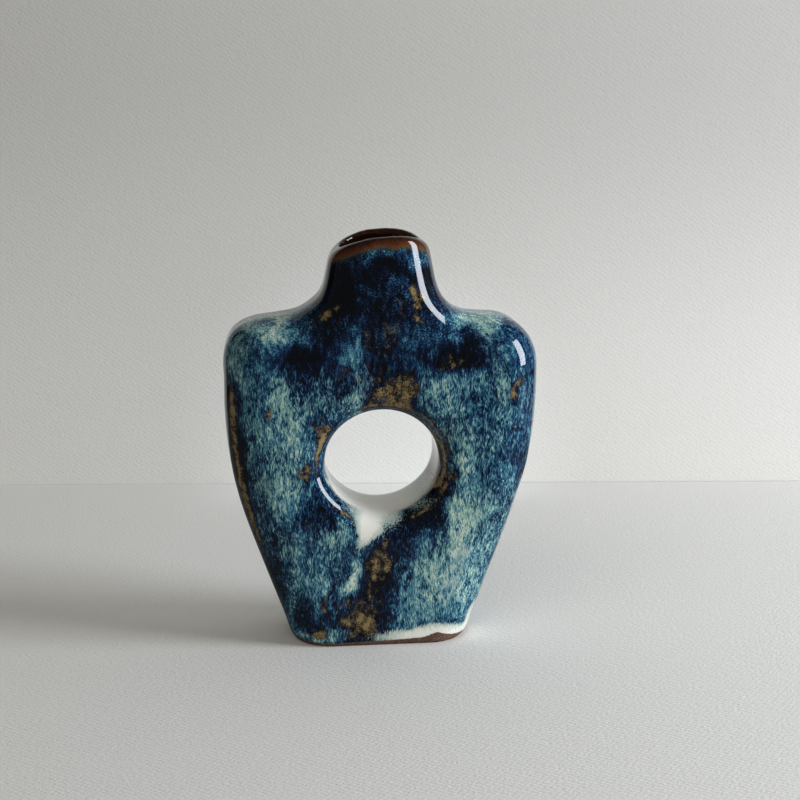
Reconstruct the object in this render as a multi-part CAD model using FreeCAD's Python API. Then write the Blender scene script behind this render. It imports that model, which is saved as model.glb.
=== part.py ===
"""Pillow vase: a flat-sided stoneware vase with an oval hole through its middle.

It is made up as a potter builds it: slabs of clay round a tunnel, on a foot slab, with a collar
for a neck and a lip on the collar. Millimetres. +Z is up, +X is to the right as the front is
seen, and the front faces -Y. The origin is the middle of the foot, on the surface that the vase
stands on. The glaze is part of each piece that it lies on, down to its edge over the foot.
"""

import FreeCAD, Part
import math
import os

# Front view
foot_width = 72.0            # across the underside, before its edge is bevelled
body_width = 122.8           # across the belly, the widest place
belly_height = 72.0          # where the flank, run on straight, would reach the full width
belly_reach = 26.2           # how far above and below there the long curve of the belly runs
side_length = 54.2           # from the belly height up to where the shoulder line would do so
shoulder_radius = 20.0       # the round end of the shoulder
shoulder_rise = 5.8          # how much the shoulder line climbs on its way to the neck
neck_root_width = 49.6       # where the shoulder line and the neck's side, run on, would meet
neck_root_radius = 15.0      # the hollow curve between shoulder and neck
neck_length = 28.4           # from that meeting place up to the rim's highest points
rim_width = 40.2             # across the rim's two low ends
rim_end_fall = 48.2          # degrees that the rim's arch falls at its two ends
rim_crest_offset = 0.8       # how far right of the middle its highest points stand

# Side view
body_depth = 41.0            # front to back, from the foot up to the lean
lean_rise = 6.8              # above the shoulder height, where front and back begin to lean in
lean_radius = 60.0           # how softly they do
rim_lean = 3.8               # how far they have each leant in by the rim's highest points
edge_radius = 16.0           # rounding of the body's whole edge, front and back

# Hole through the middle
hole_width = 44.0
hole_height = 40.4
hole_joint_slant = 52.0      # degrees from upright at which its oval's four arcs meet
hole_rise = 0.8              # of its centre above the belly height
hole_mouth_radius = 9.0      # how broadly the hole rolls out into the front and back

# Clay and glaze
wall = 4.2                   # thickness of slabs, tunnel, collar and lip
foot_slab_thickness = 6.0
collar_length = 8.0          # of the neck's sides, from the rim's ends down to the slabs' seam
lip_height = 3.5             # of the lip, on top of the collar
lip_bevel = 1.2              # taken off both its edges
foot_bevel = 1.0             # taken off the bottom edge
coat = 0.5                   # thickness of the glaze, which the bare foot lacks
bare_foot_height = 4.8       # the highest place that the bare clay reaches

# The glaze's edge from left to right across the foot: places as shares of half the foot's width,
# heights as shares of bare_foot_height
glaze_edge_shares = [
    (-1.30, 0.50), (-0.95, 0.42), (-0.60, 0.34), (-0.15, 0.42), (0.20, 0.50),
    (0.42, 0.60), (0.57, 1.00), (0.72, 0.64), (0.90, 0.46), (1.30, 0.50),
]

overrun = 3.0                # how far a blank or a cutter runs past what it has to clear
closeness = 0.01             # two places nearer than this are the same place
thinnest_share = 0.97        # the most that a rounding may take of half of what it rounds
arch_reach_share = 1.08      # how far round the rim's arch runs before it falls on straight
bevel_share = 2 - math.sqrt(2)    # a bevel this share of a radius touches its arc in the middle

shoulder_height = belly_height + side_length
total_height = shoulder_height + shoulder_rise + neck_length
hole_centre_height = belly_height + hole_rise
lean_height = shoulder_height + lean_rise
rim_radius = rim_width / 2 / math.sin(math.radians(rim_end_fall))
rim_dip = rim_radius * (1 - math.cos(math.radians(rim_end_fall)))
collar_seam = total_height - rim_dip - collar_length
slab_seam = body_depth / 2 - hole_mouth_radius    # where the tunnel and strips meet the slabs


def vector(x, y, z):
    return FreeCAD.Vector(x, y, z)


def upright(point):
    """A point of the front view, in the vase's middle plane."""
    return vector(point[0], 0, point[1])


def front_to_back(face):
    """A face of the front view drawn out in depth, past front and back."""
    solid = face.extrude(vector(0, 2 * body_depth, 0))
    solid.translate(vector(0, -body_depth, 0))
    return solid


def block(bottom, top, front=-body_depth, back=body_depth):
    """A slice of space, wider than the vase."""
    width = 2 * body_width
    return Part.makeBox(width, back - front, top - bottom, vector(-width / 2, front, bottom))


def run_on(inner, end, distance):
    """The end of a line from inner, moved on by distance."""
    share = 1 + distance / math.dist(inner, end)
    return tuple(i + (e - i) * share for i, e in zip(inner, end))


def heading(start, end):
    """The direction of a line in the front view, counted from straight right."""
    return math.atan2(end[1] - start[1], end[0] - start[0])


def drawn_in(corners, inset):
    """A rounded line's corners moved to its left by inset, its hollow curves widened to match."""
    points = [point for point, _ in corners]
    headings = [heading(*ends) for ends in zip(points, points[1:])]
    moved = []
    for (point, radius), into, away in zip(corners, headings[:1] + headings, headings + headings[-1:]):
        turn = math.remainder(away - into, 2 * math.pi)
        across, reach = into + turn / 2 + math.pi / 2, inset / math.cos(turn / 2)
        place = (point[0] + reach * math.cos(across), point[1] + reach * math.sin(across))
        moved.append((place, radius and radius - math.copysign(inset, turn)))
    return moved


def rounded_line(corners):
    """Edges through (across, height) corners, each rounded by its radius, and the two ends."""
    edges = []
    start = corners[0][0]
    for (before, _), (corner, radius), (after, _) in zip(corners, corners[1:], corners[2:]):
        into = heading(before, corner)
        turn = math.remainder(heading(corner, after) - into, 2 * math.pi)
        setback = radius * math.tan(abs(turn) / 2)
        cut_off = radius * (1 / math.cos(turn / 2) - 1)
        inward = into + turn / 2 + math.copysign(math.pi / 2, turn)
        arc_start = run_on(before, corner, -setback)
        arc_middle = (corner[0] + cut_off * math.cos(inward), corner[1] + cut_off * math.sin(inward))
        arc_end = run_on(after, corner, -setback)
        edges.append(Part.LineSegment(upright(start), upright(arc_start)).toShape())
        edges.append(Part.Arc(upright(arc_start), upright(arc_middle), upright(arc_end)).toShape())
        start = arc_end
    edges.append(Part.LineSegment(upright(start), upright(corners[-1][0])).toShape())
    return edges


def mirrored_face(corners, inset):
    """The area between a rounded line and its mirror image, drawn in sideways by inset."""
    corners = drawn_in(corners, inset)
    right = rounded_line(corners)
    left = rounded_line([((-across, height), radius) for (across, height), radius in reversed(corners)])
    top = Part.LineSegment(right[-1].lastVertex().Point, left[0].firstVertex().Point).toShape()
    bottom = Part.LineSegment(left[-1].lastVertex().Point, right[0].firstVertex().Point).toShape()
    return Part.Face(Part.Wire(right + [top] + left + [bottom]))


def front_view(inset):
    """The vase from the front, run on past foot and rim."""
    flare = math.atan2(body_width - foot_width, 2 * belly_height)
    belly_radius = belly_reach / math.tan(flare / 2)
    foot = (foot_width / 2, 0.0)
    belly = (body_width / 2, belly_height)
    shoulder = (body_width / 2, shoulder_height)
    neck_root = (neck_root_width / 2, shoulder_height + shoulder_rise)
    rim = (rim_width / 2, total_height - rim_dip)
    return mirrored_face([
        (run_on(belly, foot, overrun), 0.0),
        (belly, belly_radius),
        (shoulder, shoulder_radius),
        (neck_root, neck_root_radius),
        (run_on(neck_root, rim, rim_dip + overrun), 0.0),
    ], inset)


def side_view(inset):
    """The vase from the side, run on further than the front view and turned to face sideways."""
    lean = (body_depth / 2, lean_height)
    rim = (body_depth / 2 - rim_lean, total_height)
    face = mirrored_face([
        ((body_depth / 2, -2 * overrun), 0.0),
        (lean, lean_radius),
        (run_on(lean, rim, 2 * overrun), 0.0),
    ], inset)
    face.rotate(vector(0, 0, 0), vector(0, 0, 1), 90)
    return face


def beside_both_middles(edge):
    """True of the edges where front and side view meet: no other lies off both middles."""
    middle = edge.valueAt((edge.FirstParameter + edge.LastParameter) / 2)
    return abs(middle.x) > closeness and abs(middle.y) > closeness


def pillow(inset, bevelled=False):
    """The vase's outer form without its hole, drawn in by inset, its edge rounded or bevelled."""
    along = side_view(inset).extrude(vector(2 * body_width, 0, 0))
    along.translate(vector(-body_width, 0, 0))
    blank = front_to_back(front_view(inset)).common(along).Solids[0]
    top = max(blank.Faces, key=lambda face: face.BoundBox.ZMin).BoundBox
    taper = math.atan2(neck_root_width - rim_width, 2 * (neck_length - rim_dip))
    thinnest = min(top.XLength * math.cos(taper), top.YLength)
    radius = min(edge_radius - inset, thinnest_share * thinnest / 2)
    edges = [edge for edge in blank.Edges if beside_both_middles(edge)]
    return blank.makeChamfer(radius * bevel_share, edges) if bevelled else blank.makeFillet(radius, edges)


def oval(margin):
    """The hole's outline, wider than the hole by margin: two end arcs and two flatter ones."""
    slant = math.radians(hole_joint_slant)
    flat_centre = (hole_width - hole_height) / 2 / (math.tan(slant) + 1 - 1 / math.cos(slant))
    end_centre = flat_centre * math.tan(slant)
    top = hole_height / 2
    reach = hole_width / 2 - end_centre + margin
    meeting = (end_centre + reach * math.sin(slant), reach * math.cos(slant))
    quarter = [meeting, (0.0, top + margin), (-meeting[0], meeting[1]), (-end_centre - reach, 0.0)]
    places = quarter + [(-across, -height) for across, height in quarter] + quarter[:1]
    points = [upright((across, hole_centre_height + height)) for across, height in places]
    return Part.Wire([Part.Arc(*points[first:first + 3]).toShape() for first in range(0, len(points) - 1, 2)])


def pierced(form, margin):
    """A form with the hole through it, wider by margin, and the edges of the hole's mouths."""
    form = form.cut(front_to_back(Part.Face(oval(margin)))).Solids[0]
    around = oval(margin + closeness).BoundBox
    mouths = [
        edge for edge in form.Edges
        if edge.BoundBox.YLength < closeness
        and around.XMin < edge.BoundBox.XMin and edge.BoundBox.XMax < around.XMax
        and around.ZMin < edge.BoundBox.ZMin and edge.BoundBox.ZMax < around.ZMax
    ]
    return form, mouths


def outer_form():
    """The vase as if it were solid, standing on its flat foot."""
    form, mouths = pierced(pillow(0), 0)
    return form.makeFillet(hole_mouth_radius, mouths).common(block(0, total_height + overrun))


def cavity():
    """The space inside, from the foot slab's top out through the rim."""
    chamber, mouths = pierced(pillow(wall, bevelled=True), wall)
    chamber = chamber.makeChamfer((hole_mouth_radius - wall) * bevel_share, mouths)
    chamber = chamber.common(block(foot_slab_thickness, collar_seam))
    throat = pillow(wall).common(block(collar_seam, total_height + body_depth))
    return chamber.fuse(throat)


def above_rim(drop):
    """All that lies above the rim's arched line, lowered by drop, down to the collar's seam."""
    fall = math.radians(arch_reach_share * rim_end_fall)
    apex = (rim_crest_offset, total_height - rim_radius + rim_radius / math.cos(fall) - drop)
    right = (apex[0] + body_width, apex[1] - body_width * math.tan(fall))
    left = (apex[0] - body_width, right[1])
    arch = rounded_line([(right, 0.0), (apex, rim_radius), (left, 0.0)])
    under = Part.Face(Part.Wire(arch + [Part.LineSegment(upright(left), upright(right)).toShape()]))
    return block(collar_seam, total_height + body_depth).cut(front_to_back(under))


def along_rim(edge):
    """True of an edge that runs along the rim's arched line."""
    middle = edge.valueAt((edge.FirstParameter + edge.LastParameter) / 2)
    across = math.dist((middle.x, middle.z), (rim_crest_offset, total_height - rim_radius))
    return abs(across - rim_radius) < closeness and middle.z > collar_seam


def bare_foot():
    """The space that the glaze's thickness leaves empty over the foot."""
    glaze_edge = Part.BSplineCurve()
    glaze_edge.interpolate([
        upright((share * foot_width / 2, height_share * bare_foot_height))
        for share, height_share in glaze_edge_shares
    ])
    start, end = glaze_edge.StartPoint, glaze_edge.EndPoint
    under_end, under_start = vector(end.x, 0, -overrun), vector(start.x, 0, -overrun)
    below = Part.Wire([
        glaze_edge.toShape(),
        Part.LineSegment(end, under_end).toShape(),
        Part.LineSegment(under_end, under_start).toShape(),
        Part.LineSegment(under_start, start).toShape(),
    ])
    return front_to_back(Part.Face(below)).cut(pillow(coat))


def whole_vase():
    """The vase before it is divided along its seams."""
    vase = outer_form().cut(cavity()).cut(bare_foot()).cut(above_rim(0)).Solids[0]
    vase = vase.makeChamfer(foot_bevel, [edge for edge in vase.Edges if edge.BoundBox.ZMax < closeness])
    return vase.makeChamfer(lip_bevel, [edge for edge in vase.Edges if along_rim(edge)])


def foot_slab(vase):
    """The slab that the vase stands on, with the bare band round its foot."""
    return vase.common(block(-overrun, foot_slab_thickness))


def face_slab(vase, front, back):
    """The front or back slab, with its half of the neck's root and its rolled hole mouth."""
    return vase.common(block(foot_slab_thickness, collar_seam, front, back))


def middle_pieces(vase):
    """The pieces between front and back slab: left strip, tunnel and right strip."""
    band = vase.common(block(foot_slab_thickness, collar_seam, -slab_seam, slab_seam))
    return sorted(band.Solids, key=lambda solid: solid.CenterOfMass.x)


def neck_collar(vase):
    """The tapering neck, from its seam on the slabs up to the lip."""
    return vase.common(block(collar_seam, total_height + overrun)).cut(above_rim(lip_height))


def lip(vase):
    """The bevelled coil that ends the neck in its saddle line."""
    return vase.common(above_rim(lip_height))


def pieces():
    """Every piece of the vase under its name."""
    vase = whole_vase()
    left_strip, tunnel, right_strip = middle_pieces(vase)
    return {
        "foot_slab": foot_slab(vase),
        "front_slab": face_slab(vase, -body_depth, -slab_seam),
        "back_slab": face_slab(vase, slab_seam, body_depth),
        "left_side_strip": left_strip,
        "right_side_strip": right_strip,
        "tunnel": tunnel,
        "neck_collar": neck_collar(vase),
        "lip": lip(vase),
    }


os.makedirs("parts", exist_ok=True)
for name, shape in pieces().items():
    piece, = shape.Solids
    piece.exportStep(f"parts/{name}.step")
    print(f"{name}: {piece.Volume / 1000:.1f} cm3, {len(piece.Faces)} faces, valid {piece.isValid()}")
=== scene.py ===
import bmesh
import bpy
import math
import numpy as np
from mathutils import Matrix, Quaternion, Vector, noise
from mathutils.bvhtree import BVHTree


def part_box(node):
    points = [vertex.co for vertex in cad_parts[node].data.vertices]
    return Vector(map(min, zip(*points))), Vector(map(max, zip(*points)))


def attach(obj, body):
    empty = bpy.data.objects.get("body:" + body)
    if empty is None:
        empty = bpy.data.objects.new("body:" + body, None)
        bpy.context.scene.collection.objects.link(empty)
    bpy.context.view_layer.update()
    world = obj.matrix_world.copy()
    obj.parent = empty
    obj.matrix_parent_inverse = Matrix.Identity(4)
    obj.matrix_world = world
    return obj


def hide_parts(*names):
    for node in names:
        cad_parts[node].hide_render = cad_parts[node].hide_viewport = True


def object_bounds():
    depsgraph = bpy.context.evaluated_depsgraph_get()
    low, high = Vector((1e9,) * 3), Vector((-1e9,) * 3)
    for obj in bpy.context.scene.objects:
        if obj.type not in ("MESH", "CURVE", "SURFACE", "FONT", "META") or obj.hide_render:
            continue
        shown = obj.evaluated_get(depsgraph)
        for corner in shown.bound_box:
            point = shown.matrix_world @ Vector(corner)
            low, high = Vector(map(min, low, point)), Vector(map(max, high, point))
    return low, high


for name in ("Cube", "Light", "Camera"):       # of Blender's own first scene
    if name in bpy.data.objects:
        bpy.data.objects.remove(bpy.data.objects[name])
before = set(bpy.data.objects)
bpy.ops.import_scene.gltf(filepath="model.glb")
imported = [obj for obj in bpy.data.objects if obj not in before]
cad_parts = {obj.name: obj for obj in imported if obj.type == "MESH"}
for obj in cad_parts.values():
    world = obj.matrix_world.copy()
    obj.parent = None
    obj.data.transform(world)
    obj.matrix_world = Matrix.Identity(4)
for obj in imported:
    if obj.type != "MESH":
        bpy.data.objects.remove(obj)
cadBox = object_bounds()
mm = 0.001
vaseTop = cadBox[1].z / mm

# x is to the right as the front is seen, y goes back, z is up. Sizes in the dictionaries are in mm.
# A pair of places says where something sets in and where it is full.


def toLinear(hexColour):       # one sRGB hex value as linear red, green, blue and alpha
    parts = [int(hexColour[i:i + 2], 16) / 255 for i in (1, 3, 5)]
    return [c / 12.92 if c <= 0.04045 else ((c + 0.055) / 1.055) ** 2.4 for c in parts] + [1.0]


# Adds a node. Settings are its own values. Inputs go by name or number, or as a list in their
# order, and each is a number, an sRGB hex colour or another node's output.
def addNode(tree, kind, settings=None, inputs=None):
    node = tree.nodes.new("ShaderNode" + kind)
    for name, value in (settings or {}).items():
        if name == "stops":
            fillRamp(node.color_ramp, value)
        else:
            setattr(node, name, value)
    if isinstance(inputs, list):
        inputs = dict(enumerate(inputs))
    for name, value in (inputs or {}).items():
        if isinstance(value, bpy.types.NodeSocket):
            tree.links.new(value, node.inputs[name])
        else:
            plain = toLinear(value) if isinstance(value, str) else value
            node.inputs[name].default_value = plain
    return node.outputs


def fillRamp(ramp, stops):
    for i, (place, colour) in enumerate(stops):
        stop = ramp.elements[i] if i < len(ramp.elements) else ramp.elements.new(place)
        stop.position = place
        stop.color = toLinear(colour)


def newMaterial(name):
    material = bpy.data.materials.new(name)
    material.use_nodes = True
    material.node_tree.nodes.clear()
    return material, material.node_tree


def smoothStep(value, none, full):
    share = np.clip((value - none) / (full - none), 0, 1)
    return share * share * (3 - 2 * share)


def bell(value, middle, width):
    return np.exp(-((value - middle) / width) ** 2)


# One value of every item of a mesh, with so many numbers in a row
def readAll(items, key, width, kind=float):
    values = np.empty(len(items) * width, dtype=kind)
    items.foreach_get(key, values)
    return values.reshape(-1, width) if width > 1 else values


# A smooth wave over the vase, at points in metres. It goes from about -reach to reach.
def waveAt(co, wave):
    length, reach, seed = wave
    shift = Vector((seed * 17.3, seed * 5.1, seed * 11.7))
    scale = 1 / (length * mm)
    return np.array([noise.noise(Vector(p) * scale + shift) for p in co]) * reach


# A wave that only goes inwards, down to its reach, so that the vase stays within the CAD box
def inwardWave(co, wave):
    return (waveAt(co, wave) - wave[1]) / 2


# The skin: one dense closed mesh over the whole vase, softened as a thick glaze softens clay.
# A wave is its length, its reach and its seed.

skin = {
    "voxel": 0.8,                 # spacing of the remeshed skin
    "rounds": 34,                 # softening passes over body and neck
    "lipRounds": 3,               # and over the lip and the foot's edge,
    "lipZone": (7, 2),            # which are this far under the rim's line
    "footZone": (5, 1),           # and above the ground
    "handWave": (34.0, 0.34, 3),  # unevenness of a wall built by hand
    "handWaveFrom": (0.5, 14),    # above the ground
    "lipWave": (17.0, 0.5, 8),    # how the rim wanders down from its true line
    "lipWaveFrom": (30, 9),       # below the vase's top
    "lipWaveRing": 18,            # radius of the ring that the wave is read on
    "ground": 0.35,               # points that end lower than this stand flat on the ground
}


def joinedCad():
    bm = bmesh.new()
    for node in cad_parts.values():
        bm.from_mesh(node.data)
    mesh = bpy.data.meshes.new("joinedCad")
    bm.to_mesh(mesh)
    bm.free()
    return mesh


def remeshed(mesh):
    holder = bpy.data.objects.new("skin", mesh)
    bpy.context.scene.collection.objects.link(holder)
    remesh = holder.modifiers.new("even quads", "REMESH")
    remesh.mode = "VOXEL"
    remesh.voxel_size = skin["voxel"] * mm
    graph = bpy.context.evaluated_depsgraph_get()
    result = bpy.data.meshes.new_from_object(holder.evaluated_get(graph))
    bpy.data.objects.remove(holder)
    return result


# The separate shells of a mesh, each a list of its points
def shellsOf(bm):
    bm.verts.index_update()
    seen, shells = set(), []
    for first in bm.verts:
        if first.index in seen:
            continue
        seen.add(first.index)
        shell = [first]
        for vert in shell:                     # the list grows while it is walked
            for edge in vert.link_edges:
                other = edge.other_vert(vert)
                if other.index not in seen:
                    seen.add(other.index)
                    shell.append(other)
        shells.append(shell)
    return shells


# Takes away the crumbs that a remesh can leave inside the wall
def keepLargest(mesh):
    bm = bmesh.new()
    bm.from_mesh(mesh)
    shells = sorted(shellsOf(bm), key=len, reverse=True)
    for crumb in shells[1:]:
        bmesh.ops.delete(bm, geom=crumb, context="VERTS")
    bm.to_mesh(mesh)
    bm.free()
    print(f"skin has {len(mesh.polygons)} faces, {len(shells) - 1} crumbs removed")
    return mesh


def setPoints(mesh, co):
    mesh.vertices.foreach_set("co", co.ravel())
    mesh.update()


# Moves every point towards the middle of its neighbours, by its own weight
def soften(mesh, rounds, weight):
    a, b = readAll(mesh.edges, "vertices", 2, int).T
    co = readAll(mesh.vertices, "co", 3)
    count = np.bincount(a, minlength=len(co)) + np.bincount(b, minlength=len(co))
    for _ in range(rounds):
        middle = np.stack([
            (np.bincount(a, co[b, k], len(co)) + np.bincount(b, co[a, k], len(co))) / count
            for k in range(3)
        ], axis=1)
        co += (middle - co) * (0.5 * weight)[:, None]
    setPoints(mesh, co)


rim = {
    "radius": 27.0,               # of the arch that front and back of the rim rise in
    "bend": 52,                   # degrees of it on each side, and it runs straight from there
    "crest": 0.8,                 # how far right of the middle its top is
    "coil": 3.5,                  # height of the coil that makes the lip
    "liftRight": 3.2,             # of its two ends, where the potter's hand left them higher
    "liftRightFrom": (-2, 21),    # across, to the right
    "liftLeft": 2.2,
    "liftLeftFrom": (7, 22),      # across, to the left
    "liftFrom": (24, 9),          # below the vase's top
}

handMade = {                      # what makes the two sides of the vase unlike
    "height": [0, 8, 22, 40, 56, 70, 90, 107, 120, 131, 138, 150, 160],
    "leftIn": [0.2, 0.2, 0.1, 0.1, 0.2, 0.4, 0.7, 1.1, 0.5, 0.4, 1.1, 1.2, 0.4],
    "rightIn": [2.6, 2.4, 2.0, 1.6, 1.5, 0.6, 0.2, 0.0, 0.0, 0.3, 0.4, 0.4, 0.0],
    "bodyGrip": (24, 42),         # how far out from the middle the body is pulled in,
    "neckGrip": (4, 17),          # the neck,
    "footGrip": (8, 34),          # and the foot
    "neckFrom": (131, 137),       # heights of neck
    "footFrom": (46, 30),         # and foot
    "sag": 1.2,                   # of the right shoulder
    "sagAcross": (34, 11),        # its middle and its width
    "sagFrom": (100, 124),        # heights on the body
    "sagUpTo": (140, 133),        # and on the neck's root
    "leftCorner": (-55, 122),     # of the shoulder, squarer than the right one
    "leftCornerSize": 9.0,
    "leftCornerOut": (-0.7, 1.3),
}

blister = {                       # a burst bubble in the glaze, right of the hole
    "across": 27.3,
    "height": 68.4,
    "ring": (1.6, 0.8),           # its raised ring's radius and width
    "raised": 0.2,
    "pitRadius": 1.2,
    "pitDepth": 1.6,              # in heights of the ring
    "stainWidth": 0.7,            # the ring is stained tan, and the pit is dark
    "stain": 0.32,
    "dark": 0.35,
}


# How far the rim's line lies under the vase's top, at a place across it
def archDrop(across):
    radius = rim["radius"]
    away = np.abs(across - rim["crest"])
    bent = math.sin(math.radians(rim["bend"])) * radius
    inner = radius - np.sqrt(radius ** 2 - np.minimum(away, bent) ** 2)
    return inner + np.maximum(away - bent, 0) * bent / math.sqrt(radius ** 2 - bent ** 2)


def rimLift(across):
    right = smoothStep(across, *rim["liftRightFrom"]) * rim["liftRight"]
    left = smoothStep(-across, *rim["liftLeftFrom"]) * rim["liftLeft"]
    return right + left


# The two sides pulled in by hand, each by its own amount at each height, then the sagging right
# shoulder, the square left one and the rim's lifted ends
def handShape(co):
    across, up = co[:, 0] / mm, co[:, 2] / mm
    sideways = np.abs(across)
    onNeck = smoothStep(up, *handMade["neckFrom"])
    atFoot = smoothStep(up, *handMade["footFrom"])
    grip = smoothStep(sideways, *handMade["bodyGrip"]) * (1 - onNeck)
    grip += smoothStep(sideways, *handMade["neckGrip"]) * onNeck
    grip = np.maximum(grip, smoothStep(sideways, *handMade["footGrip"]) * atFoot)
    leftIn = np.interp(up, handMade["height"], handMade["leftIn"])
    rightIn = np.interp(up, handMade["height"], handMade["rightIn"])
    co[:, 0] += np.where(across < 0, leftIn, -rightIn) * grip * mm

    across = co[:, 0] / mm
    sag = bell(across, *handMade["sagAcross"]) * smoothStep(up, *handMade["sagFrom"])
    co[:, 2] -= sag * smoothStep(up, *handMade["sagUpTo"]) * handMade["sag"] * mm

    cornerX, cornerZ = handMade["leftCorner"]
    away = np.hypot(across - cornerX, up - cornerZ)
    push = bell(away, 0, handMade["leftCornerSize"])
    co[:, ::2] += push[:, None] * np.array(handMade["leftCornerOut"]) * mm

    atRim = smoothStep(vaseTop - co[:, 2] / mm, *rim["liftFrom"])
    co[:, 2] += rimLift(co[:, 0] / mm) * atRim * mm


def buildSkin():
    mesh = keepLargest(remeshed(joinedCad()))
    across, back, up = readAll(mesh.vertices, "co", 3).T / mm
    belowRim = vaseTop - archDrop(across) - up
    nearLip, nearFoot = smoothStep(belowRim, *skin["lipZone"]), smoothStep(up, *skin["footZone"])
    soften(mesh, skin["rounds"] - skin["lipRounds"], 1 - np.maximum(nearLip, nearFoot))
    soften(mesh, skin["lipRounds"], np.ones(len(up)))

    co, out = readAll(mesh.vertices, "co", 3), readAll(mesh.vertex_normals, "vector", 3)
    aboveFoot = smoothStep(co[:, 2] / mm, *skin["handWaveFrom"])
    co += out * (inwardWave(co, skin["handWave"]) * aboveFoot * mm)[:, None]

    across, back, up = co.T / mm
    away = np.hypot(across - blister["across"], up - blister["height"])
    pit = bell(away, 0, blister["pitRadius"]) * blister["pitDepth"]
    crater = (bell(away, *blister["ring"]) - pit) * (back < 0)
    co += out * (crater * blister["raised"] * mm)[:, None]

    angle = np.arctan2(back, across)
    ring = np.stack([np.cos(angle), np.sin(angle), 0 * angle], axis=1) * skin["lipWaveRing"] * mm
    nearRim = smoothStep(vaseTop - up, *skin["lipWaveFrom"])
    co[:, 2] += inwardWave(ring, skin["lipWave"]) * nearRim * mm
    handShape(co)
    co[co[:, 2] < skin["ground"] * mm, 2] = 0
    setPoints(mesh, co)
    return mesh


skinMesh = buildSkin()
print("skin built")

# Where each glaze lies. A patch is x, z, half width, half height, degrees it leans right, amount.

glazeMap = {
    "palest": [
        (-44, 127, 15, 5, 8, 0.34), (-39, 121, 5, 6, 0, 0.24), (-40, 90, 12, 20, 0, 0.24),
        (-31, 82, 4, 12, 0, 0.16), (-38, 60, 5, 10, -8, 0.2), (-9.5, 109, 3.6, 18, 0, 0.36),
        (35, 127, 12, 5, -12, 0.40), (36, 84, 17, 26, 0, 0.16), (25, 102, 9, 5, -10, 0.20),
        (31, 50, 6, 17, 0, 0.34), (21, 20, 15, 15, 0, 0.34), (-25.5, 19, 3.6, 10, 12, 0.45),
        (-12.5, 27, 3.2, 10, 20, 0.6), (52, 84, 5, 20, 0, -0.10), (-26, 3, 9, 2.4, 0, 0.4),
        (-16, 139, 7, 14, 0, -0.46), (-3, 137, 10, 12, 0, -0.28), (6, 148, 16, 4, 0, -0.38),
        (-32, 113, 9, 8, 0, -0.26), (-24, 121, 11, 7, 0, -0.3), (29, 117, 11, 8, 8, -0.38),
        (-57, 70, 4.5, 40, 0, -0.38), (-24, 54, 9, 8, 0, -0.14), (12, 49, 5, 11, 42, -0.36),
        (20, 66, 4, 12, 0, -0.25), (1, 112, 14, 10, 0, -0.18), (1, 24, 4, 18, 4, -0.3),
        (-7, 20, 6, 18, 10, -0.16), (-27, 14, 6, 9, 10, -0.36), (-45, 20, 6, 22, 12, -0.25),
        (-18, 49, 4, 9, 20, 0.3), (44, 118, 7, 10, 0, 0.06), (33, 36, 12, 22, 0, 0.13),
        (-33, 34, 9, 16, 0, 0.14), (-55, 112, 5, 11, 0, 0.26), (19, 141, 5, 13, -10, -0.24),
        (16, 54, 8, 6, 40, -0.14),
    ],
    "rutile": [
        (4, 103, 12, 8, 0, 0.62), (13.5, 138, 2.6, 6, -12, 0.62),
        (14.5, 129.5, 1.8, 1.9, 0, 0.75), (-19, 132, 3.0, 6, 35, 0.58),
        (25, 114, 5, 5, 0, 0.42), (-14, 106, 8, 8, 0, 0.26),
        (-25, 86, 4.6, 8, 10, 0.5), (-28.5, 72, 3.0, 5, 0, 0.62), (-0.5, 39, 4.0, 9, 12, 0.6),
        (-5, 27, 5.4, 8, 12, 0.34), (-8, 15, 7, 8, 8, 0.4), (-11, 7, 9, 8, 0, 0.48),
        (-24, 17, 2.2, 4.5, 15, 0.66), (-26, 4.6, 4, 2.6, 0, 0.66), (51, 99, 2.4, 6, 0, 0.6),
        (-44, 93, 2.4, 2.6, 0, 0.5), (0, 122, 8, 7, 0, 0.36), (6, 131, 7, 5, 0, 0.3),
        (24, 62, 4, 5, 20, 0.4),
    ],
    "white": [
        (2, 57.5, 15, 4.6, 0, 1.0), (-5, 52.5, 8.5, 6, 25, 0.8), (1.5, 53.5, 7, 4.5, 40, 0.7),
        (-6, 47.5, 4.8, 5.5, 34, 0.8), (-9, 43.5, 2.5, 5.5, 30, 0.7), (17, 4, 21, 3.5, 0, 1.3),
        (35, 9, 2.4, 8, 24, 1.0),
    ],
    "behindPalest": [
        (38, 92, 14, 24, 0, 0.3), (-30, 100, 12, 16, 10, 0.28), (-36, 50, 9, 20, 10, 0.3),
        (20, 34, 12, 18, -8, 0.3), (0, 140, 22, 12, 0, -0.45), (-2, 110, 16, 8, 0, -0.3),
        (48, 62, 6, 22, 0, -0.3), (-52, 80, 5, 24, 0, -0.3), (4, 16, 8, 14, 0, -0.35),
        (-40, 126, 12, 5, 0, 0.35), (42, 126, 12, 5, 0, 0.3),
    ],
    "behindRutile": [
        (-4, 104, 11, 7, 0, 0.8), (-16, 134, 3, 6, 20, 0.7), (28, 70, 3, 6, 0, 0.6),
        (8, 14, 8, 11, -10, 0.75), (-34, 30, 3, 7, 8, 0.6), (-48, 104, 3, 5, 0, 0.6),
        (40, 112, 5, 4, 0, 0.5),
    ],
    "behindWhite": [
        (0, 56, 12, 6, 0, 1.0), (6, 47, 5, 7, -25, 0.9), (-20, 3.6, 16, 3, 0, 1.1),
    ],
    "front": (7, -7),                              # depths, from the back's patches to the front's
    "wanderAcross": [(9, 3.8, 21), (4, 1.9, 22)],  # the waves of a patch's edge
    "wanderUp": [(12, 6.08, 23), (5, 2.28, 24)],
    "whiteWander": 0.35,                           # the white pour's edge wanders less
    "streaked": (126, 104),                        # heights, from speckles to streaks
    "rimEnd": 21,                                  # the rim's line stays level beyond this
    "rimDepth": 40,                                # deeper than this under the rim isn't told apart
}

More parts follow.
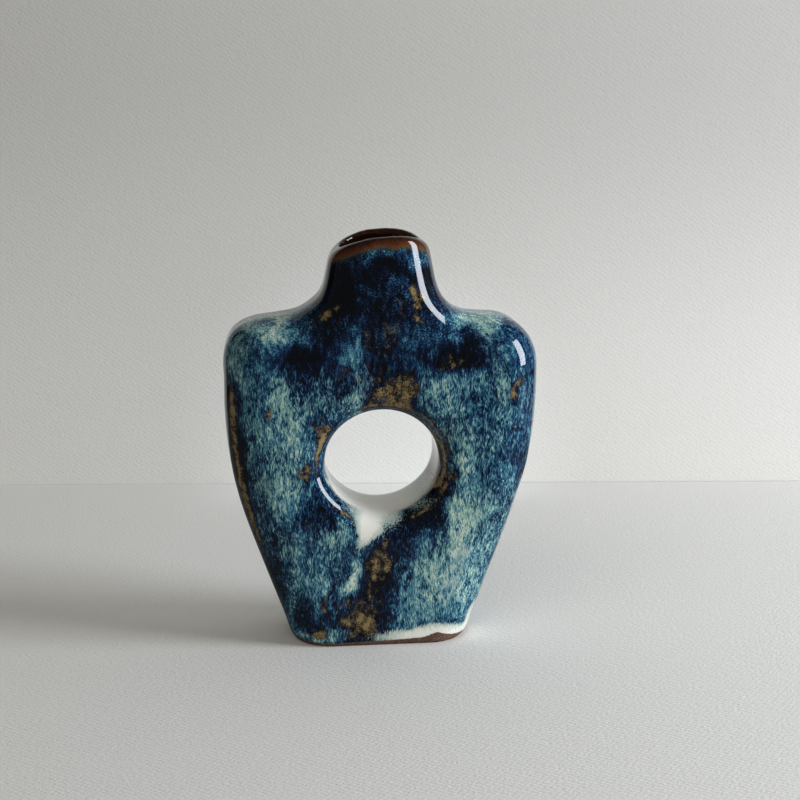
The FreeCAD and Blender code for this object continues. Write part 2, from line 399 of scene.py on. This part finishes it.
bareEdge = {                      # of the glaze above the bare foot, from left to right
    "across": [-47, -34, -22, -5, 7, 15, 20.5, 26, 32, 47],
    "height": [2.4, 2.0, 1.6, 2.0, 2.4, 2.9, 4.8, 3.1, 2.2, 2.4],
}

tunnelGlaze = {
    "height": 72.8,               # of the hole's middle
    "halfWidth": 22.0,
    "halfHeight": 20.2,
    "inside": (1.16, 1.0),        # away from the middle, in half sizes of the hole
    "depth": (16, 11),            # and to front and back
    "right": (7, 19),             # across, where the pour thins out and the tan sets in
    "pourFrom": (0.15, 0.6),      # how low the white pour lies, in half heights of the hole
    "pour": 1.2,
    "pourLess": 0.62,
    "tanFrom": (-0.6, 0.2),       # the tan
    "tan": 0.5,
    "paintedShadeFrom": (0.5, 0.1),       # and painted shade higher up, darkening the tunnel's upper walls and roof
    "dark": 0.2,
}

edgeGlaze = {                     # bands by how far the skin faces right: middle and width
    "white": (0.9, 0.085),        # a white line down the lower right edge, where it faces the lamps: partly white glaze, partly a painted reflection of the lit paper
    "whiteAndPaintedSheenFrom": (80, 50),        # heights
    "whiteWander": 1.5,           # in wanders of a patch's edge
    "whiteAndPaintedSheenShare": 0.85,           # of full strength on the average, and the wave that breaks it up
    "whiteAndPaintedSheenWave": (11, 0.3, 33),
    "tan": (-0.80, 0.10),         # a strip down the left edge
    "tanFrom": (30, 50),
    "tanUpTo": (116, 96),
    "mouth": (1.17, 0.045),       # the ridge round the hole's mouth, in half sizes of the hole
    "mouthShare": 0.5,
    "mouthWave": (14, 0.5, 31),
    "underWhite": (0.7, 0.3),     # no tan shows where the white lies
    "amount": 0.75,               # of tan
}

zones = ("palest", "rutile", "white", "belowRim", "hollow", "overEdge", "run")


def patchField(patches, across, up):
    total = np.zeros(len(across))
    for x, z, wide, high, lean, amount in patches:
        turn = math.radians(lean)
        dx, dz = across - x, up - z
        u = (dx * math.cos(turn) - dz * math.sin(turn)) / wide
        v = (dx * math.sin(turn) + dz * math.cos(turn)) / high
        total += amount * np.exp(-(u * u + v * v) ** 1.5)
    return total


# The white pour along the tunnel's floor and tan further up its right side, with painted shade over
# the tunnel's upper walls and roof
def glazeTunnel(fields, across, back, up, hole):
    low = (tunnelGlaze["height"] - up) / tunnelGlaze["halfHeight"]
    inside = smoothStep(hole, *tunnelGlaze["inside"])
    inside *= smoothStep(np.abs(back), *tunnelGlaze["depth"])
    toRight = smoothStep(across, *tunnelGlaze["right"]) * inside
    pour = inside * smoothStep(low, *tunnelGlaze["pourFrom"]) * tunnelGlaze["pour"]
    fields["white"] = np.maximum(fields["white"], pour) - toRight * tunnelGlaze["pourLess"]
    fields["rutile"] += toRight * smoothStep(low, *tunnelGlaze["tanFrom"]) * tunnelGlaze["tan"]
    # Painted shade: the upper inside of the tunnel is made darker
    fields["palest"] -= inside * smoothStep(low, *tunnelGlaze["paintedShadeFrom"]) * tunnelGlaze["dark"]


# A thick glaze runs off an edge: the left one and the hole's mouth show tan. The right one shows a
# white line, partly white glaze and partly a painted reflection of the lit paper
def glazeEdges(fields, co, out, frontShare, wander, hole):
    up, facing = co[:, 2] / mm, out[:, 0]
    # Painted reflection, partly white glaze: a white line where the skin faces right, towards the
    # lamps
    white = bell(facing, *edgeGlaze["white"])
    white *= smoothStep(up + wander * edgeGlaze["whiteWander"], *edgeGlaze["whiteAndPaintedSheenFrom"])
    white *= edgeGlaze["whiteAndPaintedSheenShare"] + waveAt(co, edgeGlaze["whiteAndPaintedSheenWave"])
    fields["white"] = np.maximum(fields["white"], white * frontShare)
    tan = bell(facing, *edgeGlaze["tan"]) * smoothStep(up, *edgeGlaze["tanFrom"])
    tan *= smoothStep(up, *edgeGlaze["tanUpTo"]) * frontShare
    mouth = edgeGlaze["mouthShare"] + waveAt(co, edgeGlaze["mouthWave"])
    mouth *= bell(hole, *edgeGlaze["mouth"]) * smoothStep(fields["white"], *edgeGlaze["underWhite"])
    fields["rutile"] += (tan + mouth) * edgeGlaze["amount"]


# 1 where the skin faces the vase's own hollow, 0 outside. From inside the hollow, a level ray meets
# a wall whichever way it goes.
def hollowShare(mesh):
    offSkin, farthest = 0.5 * mm, 200 * mm
    bm = bmesh.new()
    bm.from_mesh(mesh)
    tree = BVHTree.FromBMesh(bm)
    share = np.zeros(len(mesh.vertices))
    sideways = [Vector((1, 0, 0)), Vector((-1, 0, 0)), Vector((0, 1, 0)), Vector((0, -1, 0))]
    for i, vert in enumerate(bm.verts):
        start = vert.co + vert.normal * offSkin
        share[i] = all(tree.ray_cast(start, way, farthest)[0] is not None for way in sideways)
    bm.free()
    return share


def paintSkin(mesh):
    co, out = readAll(mesh.vertices, "co", 3), readAll(mesh.vertex_normals, "vector", 3)
    across, back, up = co.T / mm
    dx = sum(waveAt(co, wave) for wave in glazeMap["wanderAcross"])
    dz = sum(waveAt(co, wave) for wave in glazeMap["wanderUp"])
    frontShare = smoothStep(back, *glazeMap["front"])
    fields = {}
    for name in ("palest", "rutile", "white"):
        drift = glazeMap["whiteWander"] if name == "white" else 1.0
        u, v = across + dx * drift, up + dz * drift
        front = patchField(glazeMap[name], u, v)
        behind = patchField(glazeMap["behind" + name.capitalize()], u, v)
        fields[name] = front * frontShare + behind * (1 - frontShare)
    hole = np.hypot(across / tunnelGlaze["halfWidth"],
                    (up - tunnelGlaze["height"]) / tunnelGlaze["halfHeight"])
    glazeTunnel(fields, across, back, up, hole)
    glazeEdges(fields, co, out, frontShare, dz, hole)

    away = np.hypot(across - blister["across"], up - blister["height"])
    radius = blister["ring"][0]
    stained = bell(away, radius, blister["stainWidth"]) * frontShare
    fields["rutile"] += stained * blister["stain"]
    fields["palest"] -= bell(away, 0, radius) * frontShare * blister["dark"]

    onRim = np.clip(across, -glazeMap["rimEnd"], glazeMap["rimEnd"])
    belowRim = vaseTop - archDrop(onRim) + rimLift(onRim) - up
    fields["belowRim"] = np.clip(belowRim, 0, glazeMap["rimDepth"])
    fields["hollow"] = hollowShare(mesh)
    fields["overEdge"] = up - np.interp(across, bareEdge["across"], bareEdge["height"])
    fields["run"] = smoothStep(up, *glazeMap["streaked"])
    for name in zones:
        attribute = mesh.attributes.new(name, "FLOAT", "POINT")
        attribute.data.foreach_set("value", fields[name].astype(np.float32))
    attribute = mesh.attributes.new("skinNormal", "FLOAT_VECTOR", "POINT")
    attribute.data.foreach_set("vector", out.astype(np.float32).ravel())


paintSkin(skinMesh)
print("glaze placed")


# The skin cut along the seams of the clay, so that each piece stands for its own CAD node

def cutInTwo(bm, way, place):
    halves = []
    for keepUpper in (False, True):
        half = bm.copy()
        cut = bmesh.ops.bisect_plane(
            half, geom=half.verts[:] + half.edges[:] + half.faces[:], plane_co=way * place,
            plane_no=way, clear_outer=not keepUpper, clear_inner=keepUpper)
        rims = [part for part in cut["geom_cut"] if isinstance(part, bmesh.types.BMEdge)]
        lid = bmesh.ops.triangle_fill(half, use_beauty=True, edges=rims)
        layer = half.faces.layers.int["seam"]
        for part in lid["geom"]:
            if isinstance(part, bmesh.types.BMFace):
                part[layer] = 1
        halves.append(half)
    bm.free()
    return halves


# Moves the points down by the rim's line, or back up, so that the lip's seam is a level cut
def shearByArch(bm, way):
    across = np.array([vert.co.x for vert in bm.verts]) / mm
    for vert, drop in zip(bm.verts, archDrop(across) - rimLift(across)):
        vert.co.z += way * drop * mm


# The separate shells as meshes of their own, from left to right
def looseParts(bm):
    pieces = []
    for shell in shellsOf(bm):
        own = {vert.index for vert in shell}
        part = bm.copy()
        part.verts.index_update()
        others = [vert for vert in part.verts if vert.index not in own]
        bmesh.ops.delete(part, geom=others, context="VERTS")
        pieces.append(part)
    bm.free()
    return sorted(pieces, key=lambda part: sum(vert.co.x for vert in part.verts) / len(part.verts))


def cutSkin(mesh):
    whole = bmesh.new()
    whole.from_mesh(mesh)
    whole.faces.layers.int.new("seam")
    up, back = Vector((0, 0, 1)), Vector((0, 1, 0))
    foot, rest = cutInTwo(whole, up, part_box("foot_slab")[1][2])
    body, neck = cutInTwo(rest, up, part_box("front_slab")[1][2])
    shearByArch(neck, 1)
    collar, lip = cutInTwo(neck, up, (vaseTop - rim["coil"]) * mm)
    shearByArch(collar, -1)
    shearByArch(lip, -1)
    front, rest = cutInTwo(body, back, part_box("tunnel")[0][1])
    middle, rear = cutInTwo(rest, back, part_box("tunnel")[1][1])
    left, tunnel, right = looseParts(middle)
    return {
        "foot_slab": foot, "front_slab": front, "back_slab": rear, "left_side_strip": left,
        "right_side_strip": right, "tunnel": tunnel, "neck_collar": collar, "lip": lip,
    }


# A normal for each corner of a cut piece: the whole skin's own, but flat on the lids of its cuts
def cornerNormals(mesh):
    own = readAll(mesh.attributes["skinNormal"].data, "vector", 3)
    own /= np.linalg.norm(own, axis=1)[:, None]
    flat = readAll(mesh.polygons, "normal", 3)
    sizes = readAll(mesh.polygons, "loop_total", 1, int)
    onLid = np.repeat(readAll(mesh.attributes["seam"].data, "value", 1, int), sizes) == 1
    corners = readAll(mesh.loops, "vertex_index", 1, int)
    return np.where(onLid[:, None], np.repeat(flat, sizes, axis=0), own[corners])


def asPiece(name, bm, material):
    bmesh.ops.recalc_face_normals(bm, faces=bm.faces[:])
    mesh = bpy.data.meshes.new(name)
    bm.to_mesh(mesh)
    bm.free()
    cornersOut = cornerNormals(mesh)
    mesh.polygons.foreach_set("use_smooth", np.ones(len(mesh.polygons), dtype=bool))
    mesh.normals_split_custom_set(cornersOut)
    mesh.materials.append(material)
    piece = bpy.data.objects.new(name, mesh)
    bpy.context.scene.collection.objects.link(piece)
    return piece


# Rutile blue stoneware glaze, poured thickly over an iron glaze and left to run. Fired glossy, so
# it gives sharp window lights. Where it lies thick it is milky and streaked like fur, and where it
# thins it breaks to tan and rust. A pattern's size is its width, length, detail and roughness.
# A mix gives the weights by which zones and patterns add up.

glaze = {
    "patterns": {
        "fibre": (0.37, 1.9, 2.0, 0.6),      # one streak, drawn wider than its real 0.2 to show
        "cluster": (1.6, 4.4, 2.0, 0.55),    # a bunch of streaks
        "speckle": (0.55, 0.55, 3.0, 0.65),  # of the top, where the glaze didn't run
        "grain": (0.6, 0.6, 3.0, 0.6),       # of the tan patches
        "cloud": (8.0, 13.0, 2.0, 0.55),     # how unevenly it was poured
        "hue": (17.0, 22.0, 1.0, 0.55),
        "blot": (2.6, 3.1, 3.0, 0.6),        # the blots that the grains fall into
    },
    "running": ("fibre", "cluster"),         # patterns that follow the glaze's run,
    "sway": (6.0, 9.0, 1.0, 0.55),           # which wanders
    "swayBy": 3.4,
    "milkMix": {"palest": 1, "rutile": -0.42, "cloud": 0.55, "cluster": 0.95, "fine": 1.6},
    "milkBase": 0.36,                        # how milky the glaze is where nothing else is said
    "milk": [
        (0.0, "#03060b"), (0.16, "#070f22"), (0.30, "#0e2546"), (0.44, "#1d4764"),
        (0.57, "#3b6f81"), (0.70, "#6c9b9c"), (0.84, "#a2bdae"), (1.0, "#d2d5c6"),
    ],
    "tints": [(0.66, "#467c94"), (0.34, "#84a898")],   # where the hue is full, and its colour
    "tintFrom": (0.35, 0.65),                # milkiness
    "tint": 0.34,
    "brokenMix": {"rutile": 1, "grain": 0.9, "blot": 1.5},
    "brokenFrom": (0.29, 0.72),
    "tanMix": {"rutile": 1, "grain": 1.3, "blot": 1.6},
    "tanBase": 0.12,
    "tan": [
        (0.0, "#08080b"), (0.35, "#1b1815"), (0.6, "#3f3628"), (0.82, "#6b5c40"), (1.0, "#877550"),
    ],
    "specksApart": 1.3,                      # iron specks in the tan
    "speckEdge": (0.34, 0.14),               # its size, in distances between specks
    "speckShare": (0.5, 0.6),                # half the places have one,
    "rustyShare": (0.7, 0.75),               # and a quarter of them are rusty
    "speckColour": "#140c08",
    "rustySpeck": "#5b2615",
    "pouredMix": {"white": 1, "fibre": 1.3},
    "pouredFrom": (0.30, 0.62),
    "pouredThin": 0.35,                      # where the white's own colours begin
    "poured": [(0.0, "#6f9698"), (0.36, "#aebbb3"), (0.85, "#e4e3da")],
    "rustMix": {"belowRim": 1, "fibre": 4.0, "cloud": 5.0},   # how far under the rim it runs, in mm
    "rustFrom": (6.6, 3.8),
    "rustColours": (0.3, 6.4),
    "rust": [
        (0.0, "#1e0e08"), (0.3, "#48220f"), (0.55, "#583218"), (0.72, "#4b4429"), (1.0, "#090d14"),
    ],
    "hollow": "#1a0c06",
    "reliefMix": {"cloud": 0.6, "fibre": 0.04},
    "relief": 0.12,
    "reliefShare": 0.5,
    "roughness": 0.06,
    "ior": 1.52,
}

# Ground stoneware that the glaze leaves bare at the foot: matt, reddish brown and gritty

bareClay = {
    "colour": "#6c4f41",
    "cloudy": "#46322a",
    "cloudyFrom": (0.35, 0.65),              # of the grain
    "grit": "#a58a6c",
    "gritApart": 0.9,
    "gritEdge": (0.26, 0.14),                # its size, in distances between grits
    "gritRelief": 0.7,
    "edgeMix": {"overEdge": 1, "grain": 1.0},   # height over the glaze's edge, in mm
    "bareFrom": (0.12, -0.12),
    "roughness": 0.85,
}

eased = {"interpolation_type": "SMOOTHSTEP"}
patternMiddle = 0.5


# Noise of a real size in object space
def patternOf(tree, place, size):
    width, length, detail, roughness = size
    scale = (1 / (width * mm), 1 / (width * mm), 1 / (length * mm))
    fit = addNode(tree, "Mapping", {}, {"Vector": place, "Scale": scale})[0]
    look = {"Vector": fit, "Scale": 1.0, "Detail": detail, "Roughness": roughness}
    return addNode(tree, "TexNoise", {}, look)


# Adds parts up by a mix's weights. A zone counts from zero, a pattern from its middle.
def addUp(tree, parts, mix, start=0.0):
    total = start - sum(patternMiddle * mix[part] for part in mix if part not in zones)
    for part, weight in mix.items():
        settings = {"operation": "MULTIPLY_ADD"}
        total = addNode(tree, "Math", settings, [parts[part], weight, total])[0]
    return total


# Lays colours over each other, each by its share
def layered(tree, colour, layers):
    for share, above in layers:
        colour = addNode(tree, "Mix", {"data_type": "RGBA"}, {0: share, 6: colour, 7: above})[2]
    return colour


# Navy where the glaze is thin and nearly white where it lies thick, bluer or greener by the hue
def milkColour(tree, parts):
    milk = addUp(tree, parts, glaze["milkMix"], glaze["milkBase"])
    tinted = addNode(tree, "MapRange", eased, [milk, *glaze["tintFrom"], 0.0, glaze["tint"]])[0]
    layers = []
    for fullAt, colour in glaze["tints"]:
        leaning = addNode(tree, "MapRange", eased, [parts["hue"], patternMiddle, fullAt])[0]
        share = addNode(tree, "Math", {"operation": "MULTIPLY"}, [leaning, tinted])[0]
        layers.append((share, colour))
    return layered(tree, addNode(tree, "ValToRGB", {"stops": glaze["milk"]}, [milk])[0], layers)


# Tan and olive where the glaze is thin: grains of it, with dark and rust-red iron specks
def tanColour(tree, parts, place):
    apart = 1 / (glaze["specksApart"] * mm)
    dots = addNode(tree, "TexVoronoi", {}, {"Vector": place, "Scale": apart})
    kinds = addNode(tree, "SeparateColor", {}, [dots["Color"]])
    near = addNode(tree, "MapRange", eased, [dots["Distance"], *glaze["speckEdge"]])[0]
    chosen = addNode(tree, "MapRange", eased, [kinds[0], *glaze["speckShare"]])[0]
    specks = addNode(tree, "Math", {"operation": "MULTIPLY"}, [near, chosen])[0]
    rusty = addNode(tree, "MapRange", eased, [kinds[1], *glaze["rustyShare"]])[0]
    speckColour = layered(tree, glaze["speckColour"], [(rusty, glaze["rustySpeck"])])
    depth = addUp(tree, parts, glaze["tanMix"], glaze["tanBase"])
    tan = addNode(tree, "ValToRGB", {"stops": glaze["tan"]}, [depth])[0]
    return layered(tree, tan, [(specks, speckColour)])


def clayColour(tree, parts, place):
    apart = 1 / (bareClay["gritApart"] * mm)
    dots = addNode(tree, "TexVoronoi", {}, {"Vector": place, "Scale": apart})
    cloudy = addNode(tree, "MapRange", eased, [parts["grain"], *bareClay["cloudyFrom"]])[0]
    grit = addNode(tree, "MapRange", eased, [dots["Distance"], *bareClay["gritEdge"]])[0]
    layers = [(cloudy, bareClay["cloudy"]), (grit, bareClay["grit"])]
    return layered(tree, bareClay["colour"], layers)


# What the glaze's colours and relief are made of: the zones painted on the skin, and the patterns
def glazeParts(tree, place):
    parts = {zone: addNode(tree, "Attribute", {"attribute_name": zone})["Fac"] for zone in zones}
    sway = patternOf(tree, place, glaze["sway"])["Color"]
    middle, reach = (patternMiddle,) * 3, (glaze["swayBy"] * mm, glaze["swayBy"] * mm, 0.0)
    sway = addNode(tree, "VectorMath", {"operation": "SUBTRACT"}, [sway, middle])[0]
    run = addNode(tree, "VectorMath", {"operation": "MULTIPLY_ADD"}, [sway, reach, place])[0]
    for part, size in glaze["patterns"].items():
        parts[part] = patternOf(tree, run if part in glaze["running"] else place, size)["Fac"]
    fine = {0: parts["run"], 2: parts["speckle"], 3: parts["fibre"]}
    parts["fine"] = addNode(tree, "Mix", {"data_type": "FLOAT"}, fine)[0]
    return parts


def glazeMaterial(name, bareFoot):
    material, tree = newMaterial(name)
    place = addNode(tree, "TexCoord")["Object"]
    parts = glazeParts(tree, place)

    broken = addUp(tree, parts, glaze["brokenMix"])
    brokenShare = addNode(tree, "MapRange", eased, [broken, *glaze["brokenFrom"]])[0]
    poured = addUp(tree, parts, glaze["pouredMix"])
    pouredShare = addNode(tree, "MapRange", eased, [poured, *glaze["pouredFrom"]])[0]
    depth = addNode(tree, "Math", {"operation": "SUBTRACT"}, [poured, glaze["pouredThin"]])[0]
    pouredColour = addNode(tree, "ValToRGB", {"stops": glaze["poured"]}, [depth])[0]
    down = addUp(tree, parts, glaze["rustMix"])
    rustShare = addNode(tree, "MapRange", eased, [down, *glaze["rustFrom"]])[0]
    depth = addNode(tree, "MapRange", eased, [down, *glaze["rustColours"]])[0]
    rustColour = addNode(tree, "ValToRGB", {"stops": glaze["rust"]}, [depth])[0]
    colour = layered(tree, milkColour(tree, parts), [
        (brokenShare, tanColour(tree, parts, place)), (pouredShare, pouredColour),
        (rustShare, rustColour), (parts["hollow"], glaze["hollow"]),
    ])

    relief = addUp(tree, parts, glaze["reliefMix"])
    roughness = glaze["roughness"]
    if bareFoot:
        over = addUp(tree, parts, bareClay["edgeMix"])
        bare = addNode(tree, "MapRange", eased, [over, *bareClay["bareFrom"]])[0]
        colour = layered(tree, colour, [(bare, clayColour(tree, parts, place))])
        ends = [bare, 0.0, 1.0, roughness, bareClay["roughness"]]
        roughness = addNode(tree, "MapRange", eased, ends)[0]
        gritty = addNode(tree, "Math", {"operation": "MULTIPLY"}, [bare, parts["grain"]])[0]
        raised = [gritty, bareClay["gritRelief"], relief]
        relief = addNode(tree, "Math", {"operation": "MULTIPLY_ADD"}, raised)[0]
    bump = {"Strength": glaze["reliefShare"], "Distance": glaze["relief"] * mm, "Height": relief}
    surface = addNode(tree, "BsdfPrincipled", {}, {
        "Base Color": colour, "Roughness": roughness, "IOR": glaze["ior"],
        "Normal": addNode(tree, "Bump", {}, bump)[0],
    })[0]
    addNode(tree, "OutputMaterial", {}, [surface])
    return material


def dressVase():
    overAll = glazeMaterial("rutileBlueGlaze", False)
    overFoot = glazeMaterial("rutileBlueGlazeOnBareStoneware", True)
    for node, bm in cutSkin(skinMesh).items():
        piece = asPiece("glazed_" + node, bm, overFoot if node == "foot_slab" else overAll)
        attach(piece, "root")
        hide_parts(node)
        print(f"{piece.name}: {len(piece.data.polygons)} faces")


dressVase()

# Stage: a sheet of watercolour paper for the floor, one for the wall, a window on the right.
# Places are in mm to the right, ahead and up, as the camera stands.

stage = {
    "camera": {"focal": 70.93, "distance": 604.1, "height": 227.2, "azimuth": -4.51,
               "pitch": 12.41, "roll": 0.3, "turn": 0.775},
    "wallAhead": 219.0,
    "wallHeight": 1400.0,
    "floorFront": -200.0,         # where the floor's sheet ends, in front of the vase
    "floorLeft": -1200.0,
    "floorRight": 500.0,
    "crease": 0.4,                # gap between the two sheets, a dark line
    "underCrease": (3, 1),        # how far the table shows before it, and how deep
    "lookAt": (0, 0, 90),         # where the lamps point
    "lamps": [                    # name, place, size, watts, colour, whether the glaze mirrors it
        ("window", (1230, -240, 430), (450, 970), 18.4, "#eff5ff", True),
        ("sideWall", (1350, 100, 500), (1400, 900), 10.3, "#f4f8ff", False),
        ("sideFill", (700, -1100, 280), (1400, 500), 3.7, "#fffcf2", False),
        ("roomFill", (-600, -1400, 1500), (1600, 1200), 7.2, "#fff4e6", False),
    ],
    "room": "#c9cdd2",
    "roomLight": 0.12,
}

# Cold-pressed watercolour paper: matt and pale, with soft bumps in two crossing sets that wander.
# What the glaze mirrors is darker outside an edge, as if the sheet ended there in a dark room.
# From behind, the wall lets the camera see through, so that the vase's back shows.

paper = {
    "colour": "#e2e1dc",
    "far": "#cccbc6",             # high on the wall, in the shade
    "farFrom": (50, 225),
    "near": "#f6f6f2",            # painted light: a paler pool around the place that is seen through the hole
    "paintedLightPlace": (17, 219, 20),
    "paintedLightFrom": (120, 35),        # away from it
    "paintedLightOnWall": (160, 200),     # and only on the wall, this far back
    "paintedLightShare": 0.9,
    "wallMirrored": ("#2c2c2b", (250, 330)),     # its two ends, from that far to either side
    "floorMirrored": ("#6e6e6b", (-100, -20)),   # all of it
    "ridges": 1.9,                # from one to the next
    "ridgeTurns": (38, -52),
    "ridgeWander": {"Distortion": 5.0, "Detail": 2.0, "Detail Scale": 2.2},
    "ridgeShare": 0.2,
    "mottle": (2.0, 2.0, 3.0, 0.6),
    "relief": 0.35,
    "reliefShare": 0.36,
    "roughness": 0.9,
    "ior": 1.45,
}

waveWidth = 0.314                 # of the wave texture's bands, at a scale of 1


def paperRelief(tree, place, across, upOrBack):
    flat = addNode(tree, "CombineXYZ", {}, [across, upOrBack])[0]
    relief = patternOf(tree, place, paper["mottle"])["Fac"]
    for turn in paper["ridgeTurns"]:
        turned = {"Vector": flat, "Rotation": (0, 0, math.radians(turn))}
        fit = addNode(tree, "Mapping", {}, turned)[0]
        bands = {"Vector": fit, "Scale": waveWidth / (paper["ridges"] * mm), **paper["ridgeWander"]}
        raised = [addNode(tree, "TexWave", {}, bands)["Fac"], paper["ridgeShare"], relief]
        relief = addNode(tree, "Math", {"operation": "MULTIPLY_ADD"}, raised)[0]
    bump = {"Strength": paper["reliefShare"], "Distance": paper["relief"] * mm, "Height": relief}
    return addNode(tree, "Bump", {}, bump)[0]


# Mirrored is the colour that the glaze mirrors, past an edge so far from the middle
def paperMaterial(name, mirrored, mirrorEdge):
    material, tree = newMaterial(name)
    place = addNode(tree, "TexCoord")["Object"]
    across, back, up = addNode(tree, "SeparateXYZ", {}, [place])
    upOrBack = addNode(tree, "Math", {"operation": "ADD"}, [back, up])[0]

    # Painted shade high on the wall, and a painted pool of light around the place seen through the
    # hole
    far = addNode(tree, "MapRange", eased, [up, *(z * mm for z in paper["farFrom"])])[0]
    paintedLightPlace = tuple(part * mm for part in paper["paintedLightPlace"])
    away = addNode(tree, "VectorMath", {"operation": "DISTANCE"}, [place, paintedLightPlace])["Value"]
    near = addNode(tree, "MapRange", eased, [away, *(r * mm for r in paper["paintedLightFrom"])])[0]
    onWall = [back, *(y * mm for y in paper["paintedLightOnWall"]), 0.0, paper["paintedLightShare"]]
    onWall = addNode(tree, "MapRange", eased, onWall)[0]
    near = addNode(tree, "Math", {"operation": "MULTIPLY"}, [near, onWall])[0]

    rays = addNode(tree, "LightPath")
    sideways = addNode(tree, "Math", {"operation": "ABSOLUTE"}, [across])[0]
    outside = addNode(tree, "MapRange", eased, [sideways, *(x * mm for x in mirrorEdge)])[0]
    asMirrored = [rays["Is Glossy Ray"], outside]
    asMirrored = addNode(tree, "Math", {"operation": "MULTIPLY"}, asMirrored)[0]
    colour = layered(tree, paper["colour"], [
        (far, paper["far"]), (near, paper["near"]), (asMirrored, mirrored),
    ])

    surface = addNode(tree, "BsdfPrincipled", {}, {
        "Base Color": colour, "Roughness": paper["roughness"], "IOR": paper["ior"],
        "Normal": paperRelief(tree, place, across, upOrBack),
    })[0]
    fromBehind = [addNode(tree, "NewGeometry")["Backfacing"], rays["Is Camera Ray"]]
    fromBehind = addNode(tree, "Math", {"operation": "MULTIPLY"}, fromBehind)[0]
    clear = addNode(tree, "BsdfTransparent")[0]
    shown = addNode(tree, "MixShader", {}, [fromBehind, surface, clear])[0]
    addNode(tree, "OutputMaterial", {}, [shown])
    return material


camera = stage["camera"]
azimuth, pitch = math.radians(camera["azimuth"]), math.radians(camera["pitch"])
heading = math.radians(camera["turn"]) - azimuth
ahead = Vector((math.sin(heading), math.cos(heading), 0))
side = Vector((ahead.y, -ahead.x, 0))


def onStage(right, forward, up=0.0):
    return (side * right + ahead * forward + Vector((0, 0, up))) * mm


def aimCamera():
    look = Vector((math.sin(heading) * math.cos(pitch), math.cos(heading) * math.cos(pitch),
                   -math.sin(pitch)))
    data = bpy.data.cameras.new("camera")
    data.lens, data.sensor_width = camera["focal"], 36.0
    view = bpy.data.objects.new("camera", data)
    view.location = Vector((math.sin(azimuth), -math.cos(azimuth), 0)) * camera["distance"] * mm
    view.location.z = camera["height"] * mm
    turn = look.to_track_quat("-Z", "Y")
    turn.rotate(Quaternion(look, math.radians(camera["roll"])))
    view.rotation_euler = turn.to_euler()
    bpy.context.scene.collection.objects.link(view)
    bpy.context.scene.camera = view


def plane(name, corners, material):
    mesh = bpy.data.meshes.new(name)
    mesh.from_pydata([onStage(*corner) for corner in corners], [], [(0, 1, 2, 3)])
    mesh.materials.append(material)
    obj = bpy.data.objects.new(name, mesh)
    bpy.context.scene.collection.objects.link(obj)


def layPaper():
    wallPaper = paperMaterial("embossedPaperWall", *paper["wallMirrored"])
    floorPaper = paperMaterial("embossedPaperFloor", *paper["floorMirrored"])
    left, right, front = stage["floorLeft"], stage["floorRight"], stage["floorFront"]
    wall, top = stage["wallAhead"], stage["wallHeight"]
    end = wall - stage["crease"]
    before, deep = stage["underCrease"]
    plane("floor", [(left, front), (right, front), (right, end), (left, end)], floorPaper)
    plane("wall", [(left, wall), (-left, wall), (-left, wall, top), (left, wall, top)], wallPaper)
    plane("tableUnderCrease", [(left, end - before, -deep), (right, end - before, -deep),
                               (right, wall, -deep), (left, wall, -deep)], wallPaper)


def hangLamps():
    for name, place, size, watts, colour, mirrored in stage["lamps"]:
        data = bpy.data.lights.new(name, "AREA")
        data.shape, data.size, data.size_y = "RECTANGLE", size[0] * mm, size[1] * mm
        data.energy, data.color = watts, toLinear(colour)[:3]
        light = bpy.data.objects.new(name, data)
        light.location = onStage(*place)
        towards = onStage(*stage["lookAt"]) - light.location
        light.rotation_euler = towards.to_track_quat("-Z", "Y").to_euler()
        light.visible_glossy, light.visible_camera = mirrored, False
        bpy.context.scene.collection.objects.link(light)


# A dim room to the glaze and a pale one to the camera
def fillRoom():
    world = bpy.data.worlds.new("room")
    world.use_nodes = True
    tree = world.node_tree
    tree.nodes.clear()
    dim = stage["roomLight"]
    seen = [addNode(tree, "LightPath")["Is Camera Ray"], 1 - dim, dim]
    strength = addNode(tree, "Math", {"operation": "MULTIPLY_ADD"}, seen)[0]
    room = addNode(tree, "Background", {}, {"Color": stage["room"], "Strength": strength})[0]
    addNode(tree, "OutputWorld", {}, [room])
    bpy.context.scene.world = world


aimCamera()
layPaper()
hangLamps()
fillRoom()
bpy.context.scene.view_settings.view_transform = "Standard"
print("stage built")
